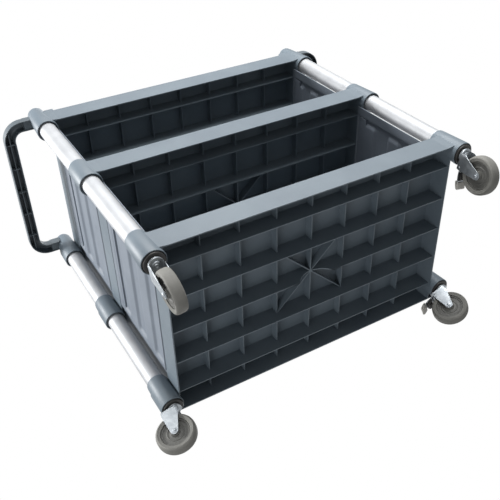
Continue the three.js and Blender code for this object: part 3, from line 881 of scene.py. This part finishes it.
def forkShape(braked):
    # one pressing: a channel with rolled corners, trimmed to its side and plan outlines
    keys = ("legInner", "legOuter", "crownLow", "crownHigh", "bend")
    inner, outer, low, high, bend = (caster[key] for key in keys)
    section = [(-outer, 20), (-outer, high - bend)] + arc(-outer + bend, high - bend, bend, 180, 90, 5)[1:]
    section += arc(outer - bend, high - bend, bend, 90, 0, 5) + [(outer, 20)]
    section += [(inner, 20), (inner, low - 1.4)] + arc(inner - 1.4, low - 1.4, 1.4, 0, 90, 3)[1:]
    section += arc(-inner + 1.4, low - 1.4, 1.4, 90, 180, 3) + [(-inner, 20)]
    bm = bmesh.new()
    plate(bm, section, -40, 60)
    bmesh.ops.rotate(bm, verts=bm.verts, cent=(0, 0, 0), matrix=Matrix.Rotation(math.pi / 2, 3, "Z"))
    trail, hub = caster["trail"], caster["wheelRadius"]
    side = [(-outer - 0.5, high + 2), (33.6, high + 2), (34, high - 3), (35.4, high - 9), (36.2, high - 14)]
    side += arc(trail, hub, 10, 14, -154, 12)
    side += [(7, 68), (-2, 87), (-9, high - 16), (-10.5, high - 12), (-13, high - 8),
             (-outer - 0.5, high - 5.5)]
    trim = bmesh.new()
    plate(trim, side, -30, 30)
    bm = combine(bm, trim, "INTERSECT")
    plan = [(40, -outer - 1), (40, outer + 1), (2, outer + 1)] + arc(0, 0, outer + 0.01, 90, 270, 18)
    plan += [(2, -outer - 1)]
    trim = bmesh.new()
    plate(trim, plan, 20, 130, facing="Z")
    bm = combine(bm, trim, "INTERSECT")
    holes = bmesh.new()
    lathe(holes, [(0, -30), (6.0, -30), (6.0, 30), (0, 30)], (trail, 0, hub), axis="Y", steps=28)
    lathe(holes, [(0, low - 2), (4.4, low - 2), (4.4, high + 2), (0, high + 2)], steps=28)
    if braked:
        lathe(holes, [(0, -30), (2.75, -30), (2.75, 30), (0, 30)],
              (brake["pivotX"], 0, brake["pivotZ"]), axis="Y", steps=20)
    bm = combine(bm, holes, "DIFFERENCE")
    bmesh.ops.remove_doubles(bm, verts=bm.verts, dist=0.01)
    bmesh.ops.bevel(bm, geom=outerCorners(bm, 0.9), offset=0.35, segments=1, affect="EDGES",
                    profile=0.5, material=-1)
    return bm


def kingpinShape(bm):
    # flanged head with a recessed, peened centre below the crown
    low, high = caster["crownLow"], caster["crownHigh"]
    profile = [(0, low - 3.0), (2.2, low - 3.0), (2.9, low - 4.1), (4.4, low - 4.4), (5.1, low - 3.9),
               (5.4, low - 3.0), (8.6, low - 2.8), (9.8, low - 2.2), (10.4, low - 0.9), (10.2, low - 0.3),
               (4.1, low - 0.3), (4.1, high + 5.0), (3.7, high + 5.4), (0, high + 5.4)]
    lathe(bm, profile, steps=48)


def stemShape(bm):
    base, high = shelfBase[0], caster["crownHigh"]
    profile = [(4.4, high + 0.3), (17.0, high + 0.3), (17.8, high + 0.9), (18, high + 1.6),
               (17.4, high + 2.4), (16, base - 4.3), (5.7, base - 4.3), (5.7, base + 39),
               (4.9, base + 40), (0, base + 40), (0, high + 6.0), (4.4, high + 6.0)]
    lathe(bm, profile, steps=56, closed=True)


def bushShape(bm):
    base = shelfBase[0]
    profile = [(6.0, base - 4), (25.6, base - 4), (26.4, base - 3.2), (27.2, base + 3.4), (26.8, base + 4),
               (23.5, base + 4), (23.5, base + 45), (22.8, base + 45.7), (6.0, base + 45.7)]
    lathe(bm, profile, steps=64, closed=True)


brake = {"pivotX": 28, "pivotZ": 106, "toe": 70}


def leverShape():
    toe = brake["toe"]
    outline = [(24.6, 108.6), (28, 110.1), (32, 110.5), (42, 110.3), (52, 109.5), (62, 107.4),
               (toe + 3.6, 104.2), (toe + 4, 103.4), (toe + 3.4, 101.5), (62, 104.7), (50, 107),
               (36, 107.2), (33.4, 104.8), (30.4, 102.8), (27, 102.2), (24.6, 103.2), (24.0, 106)]
    bm = bmesh.new()
    plate(bm, outline, -11, 11, rounding=0.45)
    pin = bmesh.new()
    inside = caster["legInner"] - 0.3
    outside = caster["legOuter"] + 0.8
    half = [(3.6, inside), (2.6, inside), (2.6, outside - 0.5), (2.1, outside), (0, outside)]
    ring = [(radius, -across) for radius, across in half[::-1]] + half
    lathe(pin, ring, (brake["pivotX"], 0, brake["pivotZ"]), axis="Y", steps=24)
    return combine(bm, pin, "UNION")


def shoeShape(bm):
    outline = [(45, 106.7), (45.6, 101.3), (47.2, 98.4), (50, 97.2), (57, 95.0), (60, 95.2),
               (62.2, 96.8), (64.5, 102.4), (58, 104.3), (50.1, 106.3)]
    plate(bm, outline, -12.5, 12.5, rounding=0.8, segments=3)


def tipShape(bm):
    toe = brake["toe"]
    outline = [(toe - 4, 106.7), (toe + 4.3, 104.3), (toe + 4, 101.0), (toe - 1.8, 102.5), (toe - 1, 99.7),
               (toe + 6, 96.6), (toe + 13, 94.6), (toe + 16, 94.9), (toe + 17.8, 96.6), (toe + 17.9, 99.0),
               (toe + 16.6, 101.4), (toe + 12, 104.4), (toe + 6, 107.4), (toe + 1, 109.2), (toe - 3.2, 109.5)]
    plate(bm, outline, -13, 13, rounding=0.5)


def inPlace(bm, tag, swivelled=True, atWheel=False):
    pin, axle = nodeCentre("kingpin_" + tag), nodeCentre("axle_" + tag)
    if atWheel:
        bmesh.ops.translate(bm, vec=(caster["trail"], 0, caster["wheelRadius"]), verts=bm.verts)
    if swivelled:
        turn = math.atan2(axle.y - pin.y, axle.x - pin.x)
        bmesh.ops.rotate(bm, verts=bm.verts, cent=(0, 0, 0), matrix=Matrix.Rotation(turn, 3, "Z"))
    bmesh.ops.translate(bm, vec=(pin.x, pin.y, 0), verts=bm.verts)
    return bm


def fromShape(shape):
    bm = bmesh.new()
    made = shape(bm)
    return made if made is not None else bm


plainParts = (
    ("bush", "ring", bushShape, blackLook, "black_plastic", "cart", False, False),
    ("stem", "race", stemShape, steelLook, "zinc_steel", "cart", False, False),
    ("kingpin", "rivet", kingpinShape, steelLook, "zinc_steel", "cart", False, False),
    ("fork", "pressing", forkShape, steelLook, "zinc_steel", "swivel", True, False),
    ("axle", "bolt", axleShape, steelLook, "zinc_steel", "swivel", True, True),
    ("tyre", "tread", tyreShape, tyreLook, "tyre_rubber", "wheel", True, True),
    ("core", "disc", coreShape, coreLook, "core_plastic", "wheel", True, True),
)
brakeParts = (
    ("lever", "blade", leverShape, steelLook, "zinc_steel", "brake", True, False),
    ("shoe", "pad", shoeShape, blackLook, "black_rubber", "brake", True, False),
    ("tip", "pedal", tipShape, tipLook, "tip_plastic", "brake", True, False),
)
for tag in cornerTags:
    braked = tag in brakeTags
    for kind, ending, shape, look, slotName, body, swivelled, atWheel in plainParts + brakeParts * braked:
        if shape == forkShape:
            bm = forkShape(braked)
        elif shape == leverShape:
            bm = leverShape()
        else:
            bm = fromShape(shape)
        node = kind + "_" + tag
        finish(node + "_" + ending, inPlace(bm, tag, swivelled, atWheel), look,
               body if body == "cart" else body + "_" + tag, [node])
print("casters done")


# ---- floor, light and camera ----

floor = {"half": 6.0, "grey": (232, 232, 230)}


def makeFloor():
    # seen from above only, so the cart can also be looked at from underneath
    bm = bmesh.new()
    bmesh.ops.create_grid(bm, x_segments=1, y_segments=1, size=floor["half"])
    mesh = bpy.data.meshes.new("studio_floor")
    bm.to_mesh(mesh)
    bm.free()
    plane = bpy.data.objects.new("studio_floor", mesh)
    scene.collection.objects.link(plane)
    material = bpy.data.materials.new("studio floor")
    material.use_nodes = True
    tree = material.node_tree
    shader = tree.nodes["Principled BSDF"]
    shader.inputs["Base Color"].default_value = tone(*floor["grey"])
    shader.inputs["Roughness"].default_value = 0.9
    clear = tree.nodes.new("ShaderNodeBsdfTransparent")
    mixing = tree.nodes.new("ShaderNodeMixShader")
    facing = tree.nodes.new("ShaderNodeNewGeometry")
    tree.links.new(facing.outputs["Backfacing"], mixing.inputs[0])
    tree.links.new(shader.outputs["BSDF"], mixing.inputs[1])
    tree.links.new(clear.outputs["BSDF"], mixing.inputs[2])
    tree.links.new(mixing.outputs["Shader"], tree.nodes["Material Output"].inputs["Surface"])
    mesh.materials.append(material)
    plane.visible_shadow = False
    plane.visible_diffuse = False
    plane.visible_glossy = False


makeFloor()

backdrop = {"ambient": 0.25, "reflected": 0.85}
world = bpy.data.worlds.new("white studio")
scene.world = world
world.use_nodes = True
worldTree = world.node_tree
paper = worldTree.nodes["Background"]
rays = worldTree.nodes.new("ShaderNodeLightPath")
ambient = backdrop["ambient"]
lift = mathNode(worldTree, "MULTIPLY", rays.outputs["Is Glossy Ray"], backdrop["reflected"] - ambient)
seen = mathNode(worldTree, "MULTIPLY", rays.outputs["Is Camera Ray"], 1.0 - ambient)
strength = mathNode(worldTree, "ADD", mathNode(worldTree, "ADD", lift, seen), ambient)
worldTree.links.new(strength, paper.inputs["Strength"])
paper.inputs["Color"].default_value = (1, 1, 1, 1)

middle = (cadBox[0] + cadBox[1]) / 2
lamps = {
    "key": {"from": (0.4, -3.1, 1.35), "size": 2.6, "power": 196},
    "left": {"from": (-2.6, -0.4, 2.1), "size": 0.7, "power": 118},
    "low": {"from": (-2.3, 0.1, -1.35), "size": 1.2, "power": 26},
    "top": {"from": (0.9, 0.6, 3.4), "size": 2.6, "power": 36},
    "back": {"from": (1.6, 3.2, 1.6), "size": 2.4, "power": 60},
}
for name, values in lamps.items():
    data = bpy.data.lights.new(name + " light", "AREA")
    data.size = values["size"]
    data.energy = values["power"]
    lamp = bpy.data.objects.new(name + " light", data)
    lamp.location = values["from"]
    lamp.rotation_euler = (middle - lamp.location).to_track_quat("-Z", "Y").to_euler()
    scene.collection.objects.link(lamp)

cameraPlace = {"eye": (-0.8261, -1.0963, -0.9805), "aim": (-0.0161, 0.1017, 0.45),
               "up": (0.3149, -0.8078, 0.4982), "lens": 50.495}
eye = Vector(cameraPlace["eye"])
forward = (Vector(cameraPlace["aim"]) - eye).normalized()
across = forward.cross(Vector(cameraPlace["up"])).normalized()
lens = bpy.data.cameras.new("low camera")
lens.lens = cameraPlace["lens"]
lens.sensor_width = 36
camera = bpy.data.objects.new("low camera", lens)
turned = Matrix((across, across.cross(forward), -forward)).transposed().to_4x4()
camera.matrix_world = Matrix.Translation(eye) @ turned
scene.collection.objects.link(camera)
scene.camera = camera
scene.view_settings.view_transform = "Standard"

print("scene done")
